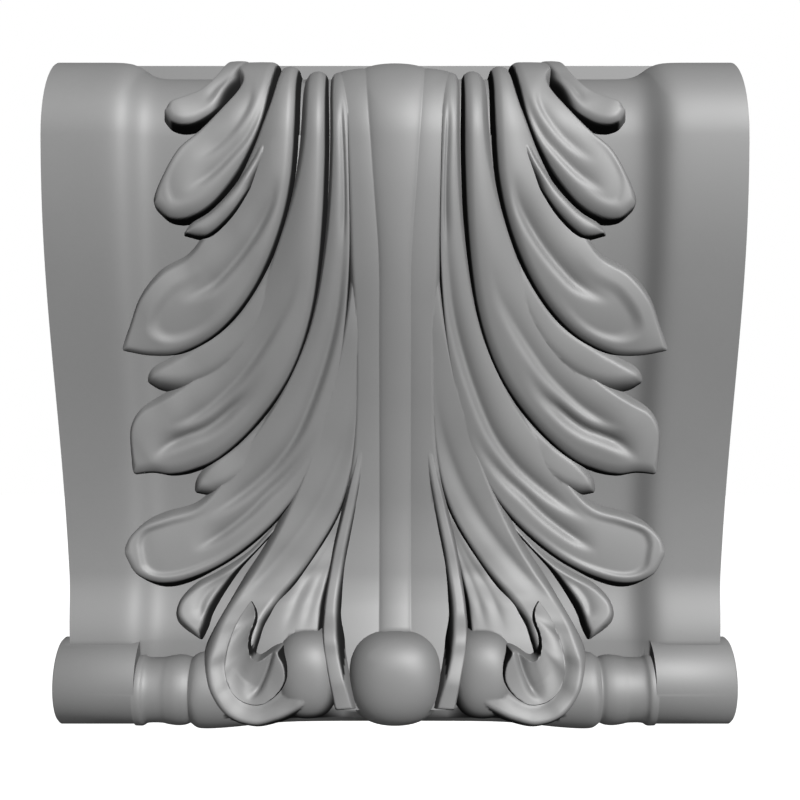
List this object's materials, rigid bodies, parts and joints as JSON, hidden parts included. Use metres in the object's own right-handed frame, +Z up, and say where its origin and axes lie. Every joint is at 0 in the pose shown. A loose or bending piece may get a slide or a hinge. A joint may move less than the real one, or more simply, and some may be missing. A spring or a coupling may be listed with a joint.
{
  "type": "carved corbel",
  "caption": "Carved stone corbel: flat-backed bracket block with a scrolled head, sunk front panel, acanthus leaf over the front and a turned roll along the foot.",
  "frame": {"origin": "on the flat back, in the middle of its width and near the middle of its height", "axes": "+X to the viewer's right, +Y into the wall, +Z up; the carved front faces -Y"},
  "size_m": [0.3014, 0.0583, 0.3002],
  "materials": {
    "stone": "fine-grained grey stone, rubbed to a low satin"
  },
  "bodies": {
    "root": {"corbel": "stone"}
  },
  "joints": []
}
